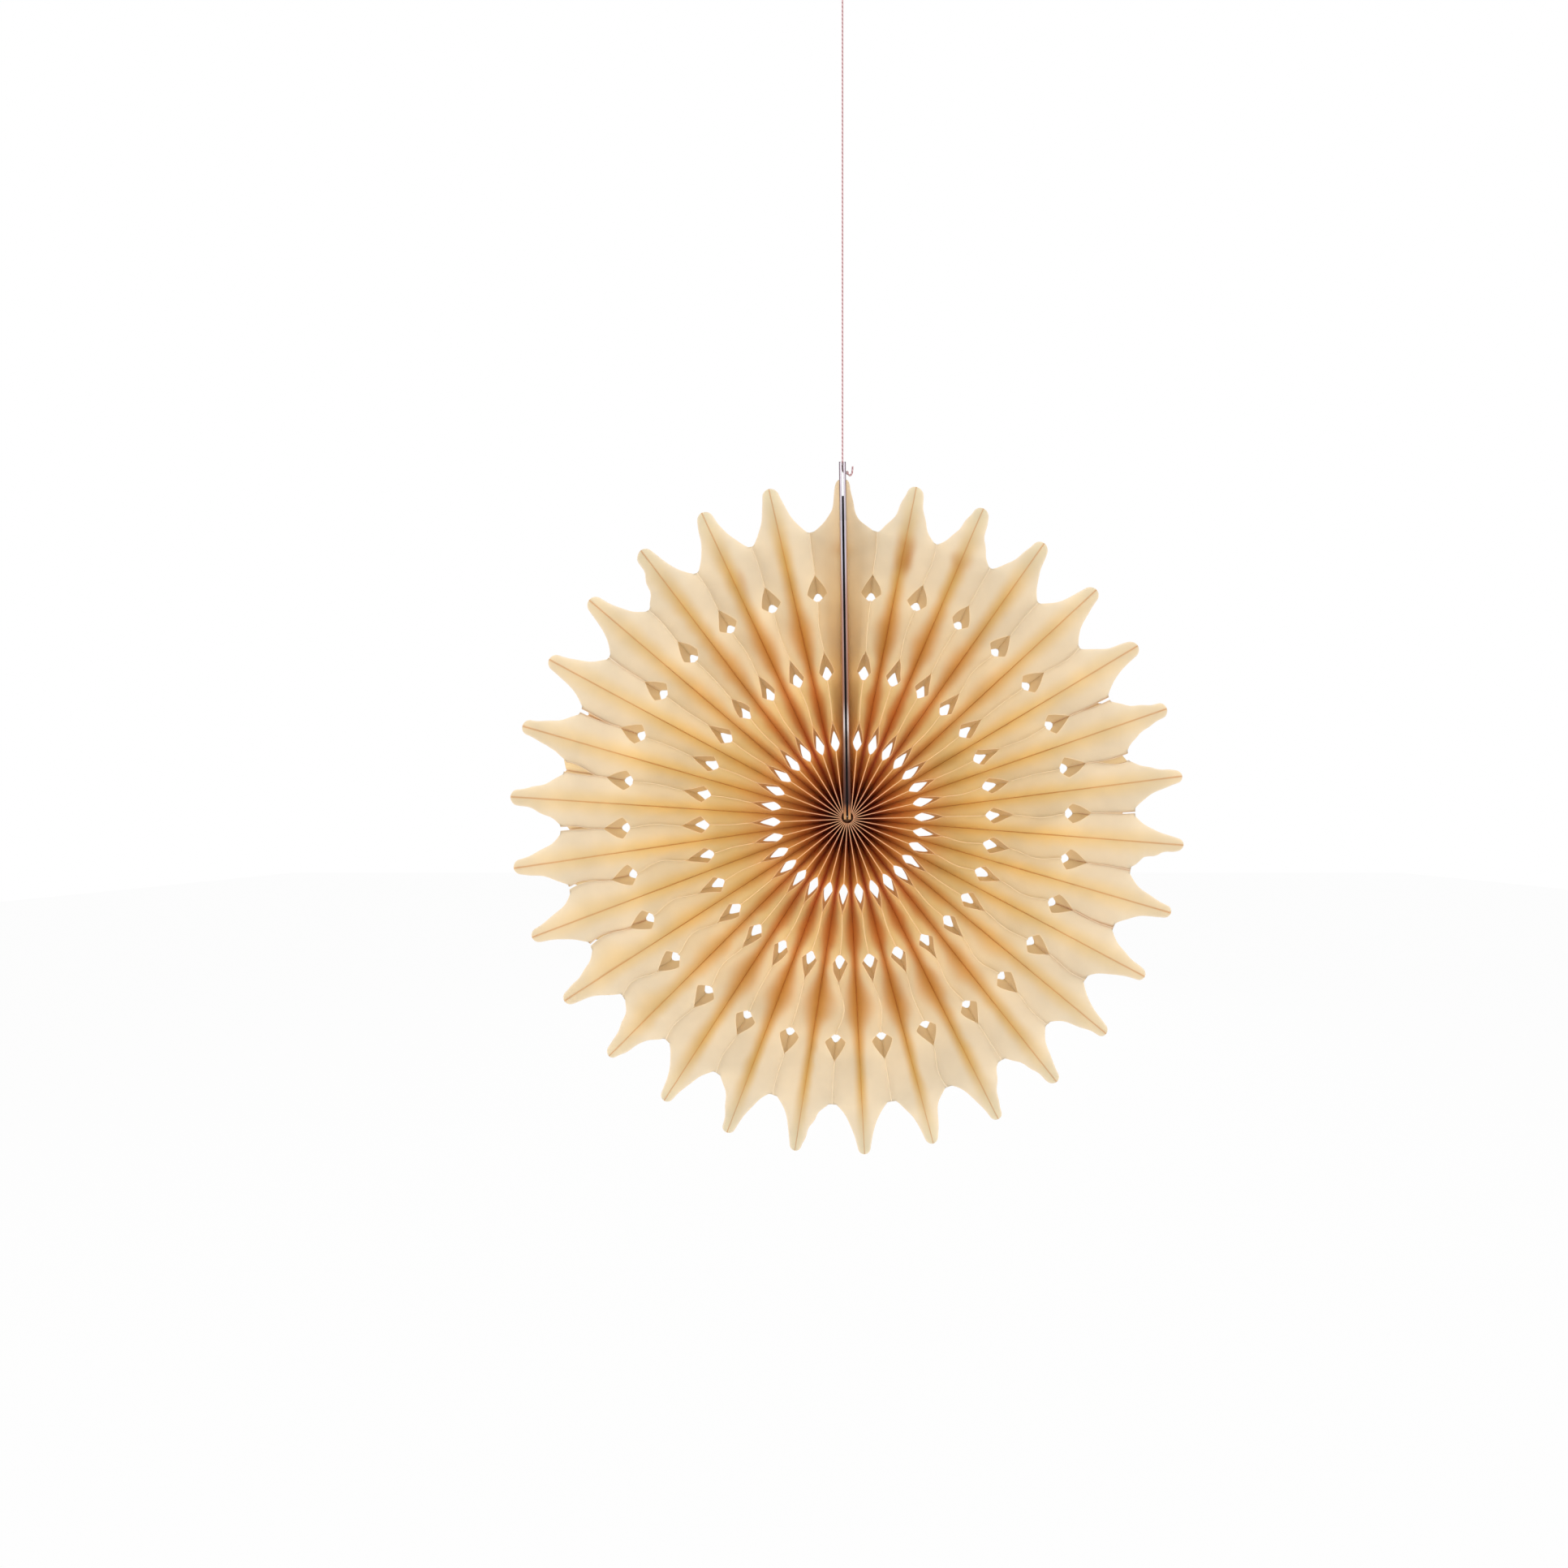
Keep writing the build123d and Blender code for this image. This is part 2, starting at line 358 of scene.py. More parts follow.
def colour_ramp(tree, source, stops):
    """Colour that follows a value through stops of place, red, green and blue."""
    ramp = tree.nodes.new("ShaderNodeValToRGB")
    ramp.color_ramp.interpolation = "EASE"
    elements = ramp.color_ramp.elements
    for stop in stops[1:-1]:
        elements.new(stop[0])
    for element, (place, red, green, blue) in zip(elements, stops):
        element.position = place
        element.color = dye(red, green, blue)
    tree.links.new(source, ramp.inputs["Fac"])
    return ramp.outputs["Color"]


def scaled(tree, source, low, high, bottom=0, top=1, curve="LINEAR"):
    """Value that goes from bottom to top while its source goes from low to high."""
    scale = tree.nodes.new("ShaderNodeMapRange")
    scale.interpolation_type = curve
    limits = {"From Min": low, "From Max": high, "To Min": bottom, "To Max": top}
    for name, limit in limits.items():
        scale.inputs[name].default_value = limit
    tree.links.new(source, scale.inputs["Value"])
    return scale.outputs["Result"]


def soft_mask(tree, source, low, high, top=1):
    """Mask that eases in while its source goes from low to high."""
    return scaled(tree, source, low, high, top=top, curve="SMOOTHSTEP")


def held_back(tree, strength, limits):
    """Strength multiplied by a soft mask for each limit, which is a source and its band."""
    for source, band in limits:
        strength = arithmetic(tree, "MULTIPLY", strength, soft_mask(tree, source, *band))
    return strength


def colour_mix(tree, factor, first, second, blend="MIX"):
    """Second colour laid over the first as far as the factor says."""
    mix = tree.nodes.new("ShaderNodeMix")
    mix.data_type = "RGBA"
    mix.blend_type = blend
    for source, name in ((factor, "Factor"), (first, "A"), (second, "B")):
        feed(tree, source, mix.inputs[name])
    return mix.outputs["Result"]


def painted(tree, label):
    """Value painted on the points of the mesh."""
    reader = tree.nodes.new("ShaderNodeAttribute")
    reader.attribute_name = label
    return reader.outputs["Fac"]


def paper_grain():
    """Node group: cloudy mottle and fine crinkles of thin paper, at a scale in turns a metre."""
    group = bpy.data.node_groups.new("paper_grain", "ShaderNodeTree")
    face = group.interface
    face.new_socket("Cloud Scale", in_out="INPUT", socket_type="NodeSocketFloat")
    face.new_socket("Fibre Scale", in_out="INPUT", socket_type="NodeSocketFloat")
    face.new_socket("Mottle", in_out="OUTPUT", socket_type="NodeSocketFloat")
    face.new_socket("Crinkle", in_out="OUTPUT", socket_type="NodeSocketFloat")
    nodes, links = group.nodes, group.links
    inputs, outputs = nodes.new("NodeGroupInput"), nodes.new("NodeGroupOutput")
    place = nodes.new("ShaderNodeTexCoord")
    clouds, fibres = nodes.new("ShaderNodeTexNoise"), nodes.new("ShaderNodeTexNoise")
    clouds.inputs["Detail"].default_value = 3
    fibres.inputs["Detail"].default_value = 6
    fibres.inputs["Roughness"].default_value = 0.7
    for noise, scale, result in (
        (clouds, "Cloud Scale", "Mottle"),
        (fibres, "Fibre Scale", "Crinkle"),
    ):
        links.new(place.outputs["Object"], noise.inputs["Vector"])
        links.new(inputs.outputs[scale], noise.inputs["Scale"])
        links.new(noise.outputs["Fac"], outputs.inputs[result])
    return group


grain = paper_grain()
relief_depth = 0.0002


def grained(tree, cloud_scale, fibre_scale):
    """Mottle and crinkle of the paper grain at two scales."""
    texture = tree.nodes.new("ShaderNodeGroup")
    texture.node_tree = grain
    texture.inputs["Cloud Scale"].default_value = cloud_scale
    texture.inputs["Fibre Scale"].default_value = fibre_scale
    return texture.outputs["Mottle"], texture.outputs["Crinkle"]


def relief(tree, height, strength):
    """Normal of a surface with a fine relief."""
    bump = tree.nodes.new("ShaderNodeBump")
    bump.inputs["Strength"].default_value = strength
    bump.inputs["Distance"].default_value = relief_depth
    tree.links.new(height, bump.inputs["Height"])
    return bump.outputs["Normal"]


# Colours by distance from the axis, where 1 is at the tips. Towards the axis and down the valleys
# they turn darker and warmer as painted shade of the deep narrow cells, most in the upright valleys
# at the top and bottom, which the side lamps reach least.
crest_tone_and_shade = [
    (0.0, 200, 110, 66), (0.07, 222, 122, 64), (0.13, 246, 188, 104), (0.18, 246, 200, 118),
    (0.34, 248, 230, 176), (0.54, 246, 234, 204), (0.78, 243, 234, 214), (1.0, 241, 233, 218),
]
side_valley_tone_and_shade = [
    (0.0, 150, 60, 30), (0.08, 210, 104, 48), (0.133, 250, 190, 104), (0.18, 250, 206, 120),
    (0.34, 250, 224, 148), (0.54, 248, 225, 160), (0.77, 244, 226, 180), (1.0, 240, 228, 200),
]
upright_valley_tone_and_shade = [
    (0.0, 140, 40, 16), (0.08, 185, 80, 34), (0.133, 236, 140, 70), (0.18, 240, 150, 72),
    (0.34, 244, 178, 88), (0.54, 234, 180, 86), (0.77, 230, 196, 118), (1.0, 236, 230, 206),
]
# Painted highlight along cut edges, by distance from the axis.
cut_edge_highlight = [
    (0.0, 252, 198, 150), (0.25, 252, 218, 168), (0.6, 248, 230, 196), (1.0, 246, 236, 220),
]
# Colours multiplied in for the glue line's crease (partly glue, partly painted shade), for blotches
# of painted shadow and for painted shade along seams.
glue_and_crease_shade, blotch_shade_colour, seam_shade_colour = (226, 158, 66), (224, 180, 120), (228, 184, 136)
# Painted shade on the inner faces of the sheets, inside the cells.
inner_shade_colour = (255, 238, 194)
white = (1, 1, 1, 1)

# A band is the pair of values between which an effect eases in. Fold bands go from 0 at the
# glue line to 1 at the seam, distance bands from the axis to the tips, and upright bands from
# the sides of the fan to its top and bottom.
valley_upright_band, valley_fold_band = (0.45, 0.98), (0.6, 0.0)
crease_fold_band, crease_strength = (0.045, 0.0), 0.55
# These bands place soft blotches of painted shadow near the valleys at the top.
blotch_shade_scale, blotch_shade_band = 34, (0.46, 0.72)
blotch_shade_inner_band, blotch_shade_outer_band = (0.68, 0.76), (0.87, 0.79)
blotch_shade_fold_band, blotch_shade_top_band = (0.7, 0.2), (0.75, 0.97)
# Painted shade along the outer part of the seams at the sides of the fan.
seam_fold_band, seam_strength = (0.88, 1.0), 0.7
seam_distance_band, seam_side_band = (0.60, 0.74), (0.62, 0.40)
tissue_grain, mottle_band, mottle_tint = (42, 900), (0.3, 0.7), (0.93, 1.04)
cut_edge_band, cut_edge_strength = (0.0012, 0.0004), 0.85


def tissue_paper():
    """Tissue, pale at the tips, with painted shade warmer inwards and down folds and painted
    highlights on cut edges.
    """
    material, tree, shader = new_material("tissue_paper")
    place = tree.nodes.new("ShaderNodeTexCoord").outputs["Object"]
    to_tips = (1 / tip_radius, 0, 1 / tip_radius)
    flat = vector_arithmetic(tree, "MULTIPLY", place, to_tips).outputs["Vector"]
    distance = vector_arithmetic(tree, "LENGTH", flat).outputs["Value"]
    aim = vector_arithmetic(tree, "NORMALIZE", flat).outputs["Vector"]
    aim_parts = tree.nodes.new("ShaderNodeSeparateXYZ")
    tree.links.new(aim, aim_parts.inputs["Vector"])
    to_top = aim_parts.outputs["Z"]
    upright = arithmetic(tree, "ABSOLUTE", to_top)
    fold, inside = painted(tree, "panel_share"), painted(tree, "inner_side")

    # Painted shade: darker, warmer colours inwards and down the valleys, deeper still in the
    # upright valleys.
    crest = colour_ramp(tree, distance, crest_tone_and_shade)
    side_valley = colour_ramp(tree, distance, side_valley_tone_and_shade)
    upright_valley = colour_ramp(tree, distance, upright_valley_tone_and_shade)
    steep = soft_mask(tree, upright, *valley_upright_band)
    valley = colour_mix(tree, steep, side_valley, upright_valley)
    colour = colour_mix(tree, soft_mask(tree, fold, *valley_fold_band), crest, valley)
    # The glue line is painted darker, partly the glue itself and partly painted shade deep in the
    # crease.
    crease = soft_mask(tree, fold, *crease_fold_band, top=crease_strength)
    colour = colour_mix(tree, crease, colour, dye(*glue_and_crease_shade))

    # Painted shadow: soft blotches beside the valleys near the top, where the folds shade each
    # other.
    shade_blotches = tree.nodes.new("ShaderNodeTexNoise")
    shade_blotches.inputs["Scale"].default_value = blotch_shade_scale
    shade_blotches.inputs["Detail"].default_value = 1
    tree.links.new(place, shade_blotches.inputs["Vector"])
    blotch_shade = held_back(tree, soft_mask(tree, shade_blotches.outputs["Fac"], *blotch_shade_band), [
        (distance, blotch_shade_inner_band),
        (distance, blotch_shade_outer_band),
        (fold, blotch_shade_fold_band),
        (to_top, blotch_shade_top_band),
    ])
    colour = colour_mix(tree, blotch_shade, colour, dye(*blotch_shade_colour), "MULTIPLY")
    # Painted shade along the outer part of the seams at the sides, where the two sheets meet.
    seam_shade = held_back(tree, soft_mask(tree, fold, *seam_fold_band, top=seam_strength), [
        (distance, seam_distance_band),
        (upright, seam_side_band),
    ])
    colour = colour_mix(tree, seam_shade, colour, dye(*seam_shade_colour), "MULTIPLY")
    # The inner faces are painted warmer and darker as shade inside the cells.
    colour = colour_mix(tree, inside, colour, dye(*inner_shade_colour), "MULTIPLY")
    mottle, crinkle = grained(tree, *tissue_grain)
    cloudy = scaled(tree, mottle, *mottle_band, *mottle_tint)
    colour = colour_mix(tree, 1, colour, cloudy, "MULTIPLY")

    # Painted highlight on the outer faces along the cut edges.
    to_edge = painted(tree, "to_cut_edge")
    rim = scaled(tree, to_edge, *cut_edge_band, top=cut_edge_strength)
    outer_rim = arithmetic(tree, "SUBTRACT", rim, inside, clamp=True)
    colour = colour_mix(tree, outer_rim, colour, colour_ramp(tree, distance, cut_edge_highlight))
    normal = relief(tree, crinkle, strength=0.25)
    tree.links.new(colour, shader.inputs["Base Color"])
    tree.links.new(normal, shader.inputs["Normal"])
    shader.inputs["Roughness"].default_value = 0.85
    shader.inputs["Specular IOR Level"].default_value = 0.15

    through = tree.nodes.new("ShaderNodeBsdfTranslucent")
    tree.links.new(colour_mix(tree, 0.5, colour, white), through.inputs["Color"])
    tree.links.new(normal, through.inputs["Normal"])
    thin = tree.nodes.new("ShaderNodeMixShader")
    thin.inputs["Fac"].default_value = 0.5
    tree.links.new(shader.outputs["BSDF"], thin.inputs[1])
    tree.links.new(through.outputs["BSDF"], thin.inputs[2])
    output = next(node for node in tree.nodes if node.type == "OUTPUT_MATERIAL")
    tree.links.new(thin.outputs["Shader"], output.inputs["Surface"])
    return material


tissue = tissue_paper()

# The rear holes are a little narrower than the front ones, the rear leaf lies further in, and
# the rear notch is shallower behind an open seam. Tips are sharper at the bottom and at three
# o'clock. A tip beside a board has only one sheet and is half as wide at its end.
rear_hole_share = 0.87
rear_leaf_shift = -0.0017
rear_notch_reach = 0.005
hole_size_least, hole_size_most = 0.96, 1.04
tip_sharpening = 0.28
pointed_places = [(1, 185, 75), (0.75, 100, 28)]
half_tip_drops = [0, 0.017, 0.025, 0.032]
half_tip_slimness = [0.5, 0.55, 0.72, 1.0]
wander_power = 1.6
slit_counter_share = 0.15
first_draw = 100

# Painted shade of a valley spreads under the flap at eight o'clock. A sheet on a board is painted
# pale like a crest, making up for the light that the board keeps off, but for a stretch of painted
# shadow between its leaf and its tip.
flap_places = [(0.5, 240, 16)]
flap_start, flap_end = 0.142, 0.184
board_side_level, board_side_fold = 0.7, 0.3
board_side_dip, dip_start, dip_end = 0.32, 0.145, 0.171


def fold_share(covered, angle, side, beside_board):
    """Place in the fold that is painted on a sheet's points, from its glue line to its seam."""
    share = covered / valley_width(angle, radii)[:, None]
    # Painted shade under the flap.
    if side > 0:
        under_flap = bump_between(radii, flap_start, flap_end) * near_places(angle, flap_places)
        share = share * (1 - under_flap[:, None])
    # Painted paler beside a board, with a dip of painted shadow between leaf and tip.
    if beside_board:
        dip = board_side_dip * bump_between(radii, dip_start, dip_end)[:, None]
        share = board_side_level - dip + board_side_fold * share
    return share


def cell_sheets(cell):
    """Points, faces and painted values of the two sheets of a cell."""
    draw = np.random.default_rng(first_draw + cell)
    left, right = glue_line(cell, radii), glue_line(cell + 1, radii)
    width = np.linalg.norm(right - left, axis=1)
    across = (right - left) / width[:, None]
    half = width / 2
    middle = (left + right).sum(axis=0)
    angle = np.degrees(np.arctan2(middle[0], middle[1])) % 360
    rise = np.sqrt(np.maximum(panel_width**2 - np.minimum(half, notch_half_width) ** 2, 0))
    height = glue_half_width + rise
    hole_size = draw.uniform(hole_size_least, hole_size_most)
    wander = {face: seam_wander(angle, radii, draw) for face in ("rear", "front")}
    slit = seam_slit(angle, radii, draw)
    beyond = np.maximum(tip_radius - radii, 0)
    end_round = tip_round * (1 - tip_sharpening * near_places(angle, pointed_places))
    points, faces, share, to_edge, inner_side = [], [], [], [], []
    count = 0
    for line, side in ((left, 1), (right, -1)):
        beside_board = (cell == 0 and side > 0) or (cell == cell_count - 1 and side < 0)
        slimness = np.interp(beyond, half_tip_drops, half_tip_slimness) if beside_board else 1
        tip_edge = tip_half_width(beyond, end_round) * slimness
        grids, shares, edges = [], [], []
        for face in ("rear", "front"):
            if face == "rear":
                order, depth_sign = slice(None, None, -1), 1
                holes = all_holes(radii, hole_size * rear_hole_share, rear_leaf_shift)
                notch = notch_radius + rear_notch_reach * near_places(angle, open_seams)
                shift = wander[face]
            else:
                order, depth_sign = slice(None), -1
                holes = all_holes(radii, hole_size, 0)
                notch = notch_radius
                shift = wander[face] + (slit if side < 0 else -slit_counter_share * slit)
            free_edge = np.where(radii > notch, np.minimum(tip_edge, half), half)
            end_across = np.minimum(half - sheet_thickness - holes, free_edge)
            x, y, covered, margin = quarter(half, height, end_across, draw)
            x = side * x + shift[:, None] * covered**wander_power
            flat = line[:, None, :] + across[:, None, :] * x[:, :, None]
            grid = np.stack([flat[:, :, 0], depth_sign * y, flat[:, :, 1]], axis=-1)
            grids.append(grid[:, order])
            shares.append(covered[:, order])
            edges.append(margin[:, order])
        outer = np.concatenate(grids, axis=1)
        sheet_points, sheet_faces = sheet_shell(outer, side * sheet_thickness)
        faces.append((sheet_faces[:, ::-1] if side > 0 else sheet_faces) + count)
        points.append(sheet_points)
        count += len(sheet_points)
        covered = np.concatenate(shares, axis=1)
        share += [fold_share(covered, angle, side, beside_board).ravel()] * 2
        to_edge += [np.concatenate(edges, axis=1).ravel()] * 2
        inner_side += [np.zeros(covered.size), np.where(to_edge[-1] > 0, 1.0, 0.0)]
    values = {
        "panel_share": np.concatenate(share),
        "to_cut_edge": np.concatenate(to_edge),
        "inner_side": np.concatenate(inner_side),
    }
    return np.concatenate(points), np.concatenate(faces), values


for cell in range(cell_count):
    node = f"tissue_cell_{cell + 1:02d}"
    sheets = add_mesh(f"{node}_sheets", *cell_sheets(cell))
    sheets.data.materials.append(tissue)
    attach(sheets, "root")
    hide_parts(node)

# Boards
# Two die-cut strips of board that the first and the last tissue sheet are glued flat onto.
# Dark paper lines both sides of each, and a pale pulp core shows along the cut edge.
board_thickness = 0.0014
board_gap_half = board_pack_half - board_thickness
board_tip_radius = 0.211
board_grain = (120, 2500)
liner_thickness, liner_blur = 0.0005, 0.00005
liner_edge = board_pack_half - liner_thickness
liner_band = (liner_edge - liner_blur, liner_edge + liner_blur)
inner_face_band = (-0.3 * board_gap_half, -0.6 * board_gap_half)
outer_face_band = (0.5 * board_pack_half, 0.8 * board_pack_half)
tissue_end_blur = 0.001
bare_end_band = (tip_radius - tissue_end_blur, tip_radius + tissue_end_blur)

# Colours up the edge, where 0 is at the middle of the fan and 1 at the boards' top. At the hub the
# edge is tan like the tissue there; above it the core and liner are painted darker as shade where
# the folds crowd round the boards, with a painted highlight on the core a quarter of the way up,
# and higher up they keep their own pale and dark colours.
core_tone_and_shade = [
    (0.0, 216, 160, 104), (0.02, 190, 124, 76), (0.04, 60, 26, 18), (0.12, 84, 46, 36),
    (0.2, 150, 120, 106), (0.25, 204, 192, 188), (0.32, 136, 100, 84), (0.55, 160, 128, 120),
    (0.72, 186, 178, 188), (1.0, 218, 208, 218),
]
edge_liner_tone_and_shade = [
    (0.0, 216, 160, 104), (0.04, 96, 48, 22), (0.4, 150, 90, 50), (0.7, 160, 116, 84),
    (0.84, 156, 142, 136), (0.93, 120, 100, 104), (1.0, 84, 60, 74),
]
# The inner faces are dark paper, painted darker still as the shade of the narrow gap between the
# boards.
inner_face_and_shade = [(0.3, 34, 22, 34), (0.7, 54, 38, 48)]
outer_face_dyes = [(0.3, 238, 200, 142), (0.7, 244, 214, 160)]


def laminated_board():
    """Tissue outside; dark paper on the inner face, painted darker as gap shade, and as a line
    beside the pale core.
    """
    material, tree, shader = new_material("laminated_board")
    across = (cos(radians(board_lean)), 0, sin(radians(board_lean)))
    place = tree.nodes.new("ShaderNodeTexCoord").outputs["Object"]
    facing = tree.nodes.new("ShaderNodeNewGeometry").outputs["Normal"]
    side = vector_arithmetic(tree, "DOT_PRODUCT", place, across).outputs["Value"]
    slant = vector_arithmetic(tree, "DOT_PRODUCT", facing, across).outputs["Value"]
    outward = arithmetic(tree, "MULTIPLY", side, slant)
    offset = arithmetic(tree, "ABSOLUTE", side)
    parts = tree.nodes.new("ShaderNodeSeparateXYZ")
    tree.links.new(place, parts.inputs["Vector"])
    height = parts.outputs["Z"]
    upward = scaled(tree, height, 0, board_tip_radius)
    mottle, crinkle = grained(tree, *board_grain)

    core = colour_ramp(tree, upward, core_tone_and_shade)
    edge_liner = colour_ramp(tree, upward, edge_liner_tone_and_shade)
    inner_face = colour_ramp(tree, mottle, inner_face_and_shade)
    outer_face = colour_ramp(tree, mottle, outer_face_dyes)
    edge = colour_mix(tree, scaled(tree, offset, *liner_band), core, edge_liner)
    edge = colour_mix(tree, scaled(tree, outward, *inner_face_band), edge, inner_face)
    face = colour_mix(tree, scaled(tree, height, *bare_end_band), outer_face, inner_face)
    colour = colour_mix(tree, scaled(tree, outward, *outer_face_band), edge, face)
    tree.links.new(colour, shader.inputs["Base Color"])
    tree.links.new(relief(tree, crinkle, strength=0.3), shader.inputs["Normal"])
    shader.inputs["Roughness"].default_value = 0.7
    return material


board_finish = laminated_board()
for node in ("board_left", "board_right"):
    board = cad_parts[node]
    board.data.materials.clear()
    board.data.materials.append(board_finish)

# Joining tape
# A strip of double-sided tape sticks the two boards to each other. It is hidden between them, and
# its edge is seen only as a line deep in the gap, painted near-black as the shade there.
tape_grain = (80, 1500)
tape_shade_colours = [(0.3, 26, 18, 26), (0.7, 40, 28, 36)]
tape_finish, tape_tree, tape_shader = new_material("tape_in_shade")
tape_mottle, _ = grained(tape_tree, *tape_grain)
tape_colour = colour_ramp(tape_tree, tape_mottle, tape_shade_colours)
tape_tree.links.new(tape_colour, tape_shader.inputs["Base Color"])
tape_shader.inputs["Roughness"].default_value = 0.6
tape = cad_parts["joining_tape"]
tape.data.materials.clear()
tape.data.materials.append(tape_finish)

# Hanging thread
# One pinkish cotton thread, pulled tight by the weight of the fan. It comes out of a hole in
# the right board, turns up between the boards and runs straight to the loop at its top.
thread_diameter = 0.001
thread_x = -0.0028622
hole_height = 0.20498
board_face_x = -0.0008624
thread_top = 0.492
straight_from = 0.006
ply_scale, ply_unevenness = 260, 1.5
cotton_dyes = [(0.0, 176, 122, 124), (1.0, 224, 190, 192)]


def twisted_cotton():
    """Two plies of cotton, seen as slanting light and dark bands."""
    material, tree, shader = new_material("twisted_cotton")
    bands = tree.nodes.new("ShaderNodeTexWave")
    bands.wave_type = "BANDS"
    bands.bands_direction = "DIAGONAL"
    bands.inputs["Scale"].default_value = ply_scale
    bands.inputs["Distortion"].default_value = ply_unevenness
    place = tree.nodes.new("ShaderNodeTexCoord").outputs["Object"]
    tree.links.new(place, bands.inputs["Vector"])
    colour = colour_ramp(tree, bands.outputs["Fac"], cotton_dyes)
    tree.links.new(colour, shader.inputs["Base Color"])
    tree.links.new(relief(tree, bands.outputs["Fac"], strength=0.5), shader.inputs["Normal"])
    shader.inputs["Roughness"].default_value = 0.9
    shader.inputs["Specular IOR Level"].default_value = 0.2
    return material


cotton = twisted_cotton()


def twine(name, node, routes):
    """Round cotton along smooth routes, each a list of points that is closed or open."""
    curve = bpy.data.curves.new(name, "CURVE")
    curve.dimensions = "3D"
    for route, closed in routes:
        spline = curve.splines.new("NURBS")
        spline.points.add(len(route) - 1)
        for point, place in zip(spline.points, route):
            point.co = (*place, 1)
        spline.order_u = 3
        spline.use_cyclic_u = closed
        spline.use_endpoint_u = not closed
        spline.resolution_u = 8
    curve.bevel_depth = thread_diameter / 2
    curve.bevel_resolution = 3
    curve.use_fill_caps = True
    curve.materials.append(cotton)
    piece = bpy.data.objects.new(name, curve)
    bpy.context.scene.collection.objects.link(piece)
    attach(piece, "root")
    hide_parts(node)
    return piece


route = [
    (board_face_x, 0, hole_height),
    (thread_x, 0, hole_height),
    (thread_x, 0, hole_height + straight_from),
    (thread_x, 0, thread_top),
]
thread = twine("hanging_thread_cotton", "hanging_thread", [(route, False)])

# Knot and loop
# An overhand knot outside the right board stops the thread, with its short end curling up.
# The top end is tied into a small ring to hang the fan by.
knot_steps = 14
knot_depth = 0.00036
knot_half_width = 0.62 * knot_depth


def overhand(centre, axis_across):
    """Closed three-lobed knot round a centre, lying across the x axis or the z axis."""
    points = []
    for i in range(knot_steps):
        turn = 2 * pi * i / knot_steps
        flat = (sin(turn) + 2 * sin(2 * turn)) * knot_half_width
        tall = (cos(turn) - 2 * cos(2 * turn)) * knot_half_width
        deep = -sin(3 * turn) * knot_depth
        place = (deep, flat, tall) if axis_across == "x" else (flat, tall, deep)
        points.append(tuple(c + p for c, p in zip(centre, place)))
    return points


knot_x = board_face_x + 0.0009
tail = [
    (knot_x, 0, hole_height),
    (knot_x + 0.0008, -0.0002, hole_height - 0.0012),
    (thread_x + 0.0046, 0, hole_height - 0.0018),
    (thread_x + 0.0058, 0, hole_height - 0.0002),
    (thread_x + 0.0059, 0, hole_height + 0.0018),
    (thread_x + 0.0061, 0, hole_height + 0.0037),
]
knot_routes = [(overhand((knot_x, 0, hole_height), "x"), True), (tail, False)]
knot = twine("thread_knot_cotton", "thread_knot", knot_routes)

ring_half = 0.0066
ring_foot, ring_widest, ring_high = thread_top + 0.0012, thread_top + 0.0076, thread_top + 0.0129
ring_lower = (0.5 * ring_half, ring_foot + 0.002)
ring_upper = (0.8 * ring_half, ring_high)
ring = [
    (thread_x, 0, ring_foot),
    (thread_x + ring_lower[0], 0, ring_lower[1]),
    (thread_x + ring_half, 0, ring_widest),
    (thread_x + ring_upper[0], 0, ring_upper[1]),
    (thread_x, 0, ring_high + 0.0001),
    (thread_x - ring_upper[0], 0, ring_upper[1]),
    (thread_x - ring_half, 0, ring_widest),
    (thread_x - ring_lower[0], 0, ring_lower[1]),
]
ring_knot = overhand((thread_x, 0, thread_top + 0.0009), "z")
loop = twine("thread_loop_cotton", "thread_loop", [(ring, True), (ring_knot, True)])

# Floor, light and camera
# The fan hangs over a plain pale floor. Two wide soft boxes light it from the sides, with a
# small one in front and a wide one behind, and an even white surround fills in.
floor_size, floor_height = 6.0, -0.6
floor_whiteness = 0.96
floor_mesh = bpy.data.meshes.new("studio_floor")
floor_corners = [(-1, -1), (1, -1), (1, 1), (-1, 1)]
floor_points = [(x * floor_size, y * floor_size, floor_height) for x, y in floor_corners]
floor_mesh.from_pydata(floor_points, [], [(0, 1, 2, 3)])
floor = bpy.data.objects.new("studio_floor", floor_mesh)
bpy.context.scene.collection.objects.link(floor)
floor_finish, floor_tree, floor_shader = new_material("pale_floor")
floor_shader.inputs["Base Color"].default_value = dye(244, 243, 241)
floor_shader.inputs["Roughness"].default_value = 0.9
glow = floor_tree.nodes.new("ShaderNodeEmission")
glow.inputs["Color"].default_value = white
sight = floor_tree.nodes.new("ShaderNodeLightPath")
seen_share = arithmetic(floor_tree, "MULTIPLY", sight.outputs["Is Camera Ray"], floor_whiteness)
floor_look = floor_tree.nodes.new("ShaderNodeMixShader")
floor_tree.links.new(seen_share, floor_look.inputs["Fac"])
floor_tree.links.new(floor_shader.outputs["BSDF"], floor_look.inputs[1])
floor_tree.links.new(glow.outputs["Emission"], floor_look.inputs[2])
floor_output = next(node for node in floor_tree.nodes if node.type == "OUTPUT_MATERIAL")
floor_tree.links.new(floor_look.outputs["Shader"], floor_output.inputs["Surface"])
floor_mesh.materials.append(floor_finish)

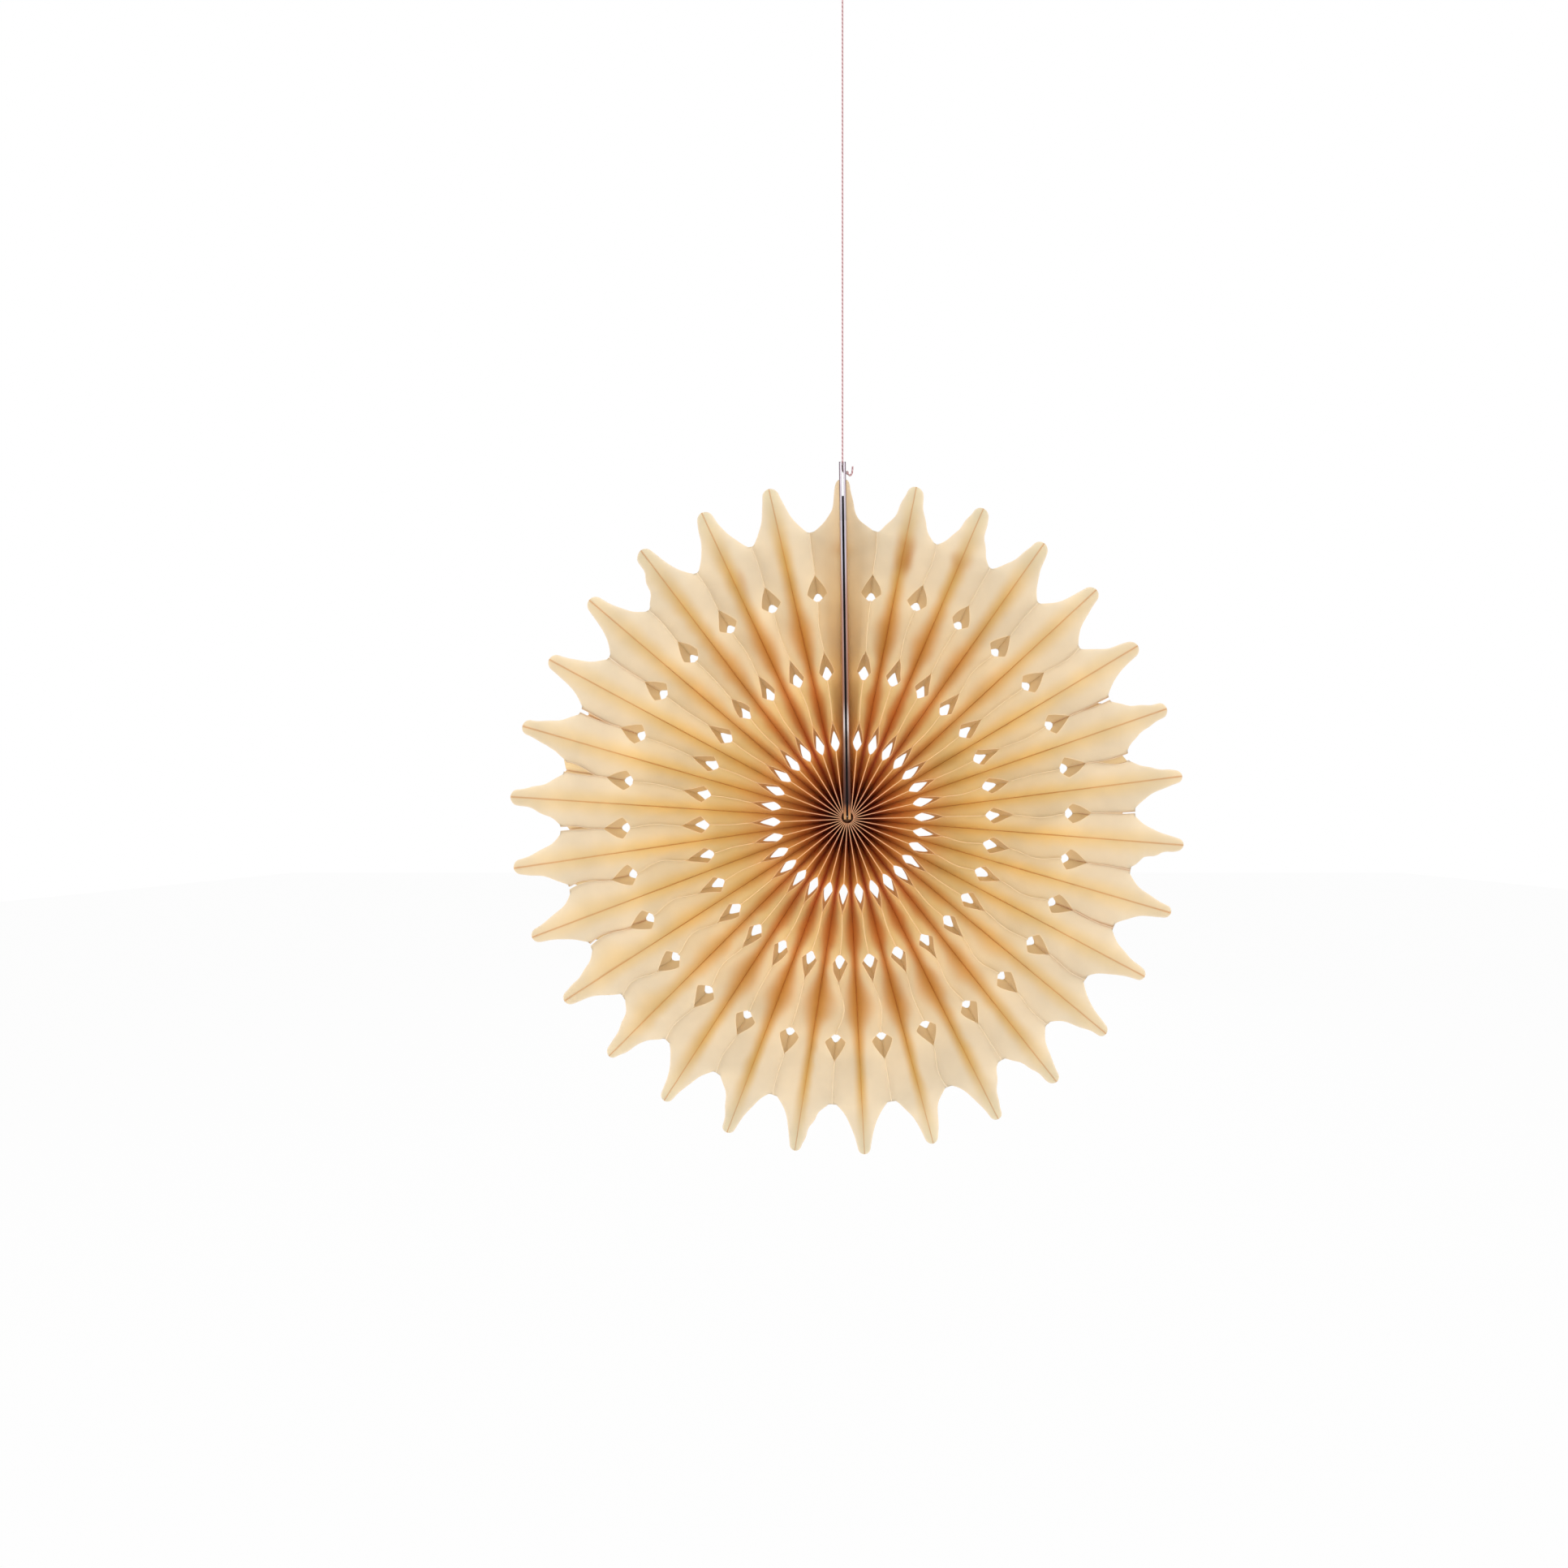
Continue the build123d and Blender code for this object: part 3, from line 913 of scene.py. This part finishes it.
surround_light, surround_white = 0.5, 1.0
world = bpy.data.worlds.new("studio")
bpy.context.scene.world = world
world.use_nodes = True
surround = world.node_tree
surround.nodes.clear()
path = surround.nodes.new("ShaderNodeLightPath")
mirrored = arithmetic(
    surround, "MAXIMUM", path.outputs["Is Glossy Ray"], path.outputs["Is Transmission Ray"]
)
in_sight = arithmetic(surround, "MAXIMUM", path.outputs["Is Camera Ray"], mirrored)
surround_look = surround.nodes.new("ShaderNodeMixShader")
surround.links.new(in_sight, surround_look.inputs["Fac"])
for slot, strength in ((1, surround_light), (2, surround_white)):
    background = surround.nodes.new("ShaderNodeBackground")
    background.inputs["Color"].default_value = white
    background.inputs["Strength"].default_value = strength
    surround.links.new(background.outputs["Background"], surround_look.inputs[slot])
surround_output = surround.nodes.new("ShaderNodeOutputWorld")
surround.links.new(surround_look.outputs["Shader"], surround_output.inputs["Surface"])


def soft_box(name, place, size, power):
    """Square lamp of a width in metres and a power in watts, aimed at the middle of the fan."""
    light = bpy.data.lights.new(name, "AREA")
    light.shape = "SQUARE"
    light.size = size
    light.energy = power
    lamp = bpy.data.objects.new(name, light)
    lamp.location = place
    lamp.rotation_euler = (-Vector(place)).to_track_quat("-Z", "Y").to_euler()
    bpy.context.scene.collection.objects.link(lamp)


soft_box("soft_box_left", (-1.4, -0.9, 0.1), 1.2, 12)
soft_box("soft_box_right", (1.4, -0.9, 0.0), 1.2, 9.2)
soft_box("soft_box_front", (0.0, -1.9, 0.1), 0.6, 8)
soft_box("soft_box_rear", (0.3, 1.8, 0.5), 1.2, 9)

photo_width = 1932
metres_a_pixel = 0.000483
fan_pixel = (1044, 1007)
camera_distance = 0.35
sensor_width = 36.0
camera_data = bpy.data.cameras.new("photo_view")
camera_data.sensor_width = sensor_width
camera_data.lens = sensor_width * camera_distance / (photo_width * metres_a_pixel)
camera_data.shift_x = (photo_width / 2 - fan_pixel[0]) / photo_width
camera_data.shift_y = (fan_pixel[1] - photo_width / 2) / photo_width
camera_data.dof.use_dof = False
camera = bpy.data.objects.new("photo_view", camera_data)
camera.location = (0, -camera_distance, 0)
camera.rotation_euler = (pi / 2, 0, 0)
bpy.context.scene.collection.objects.link(camera)
bpy.context.scene.camera = camera
bpy.context.scene.view_settings.view_transform = "Standard"
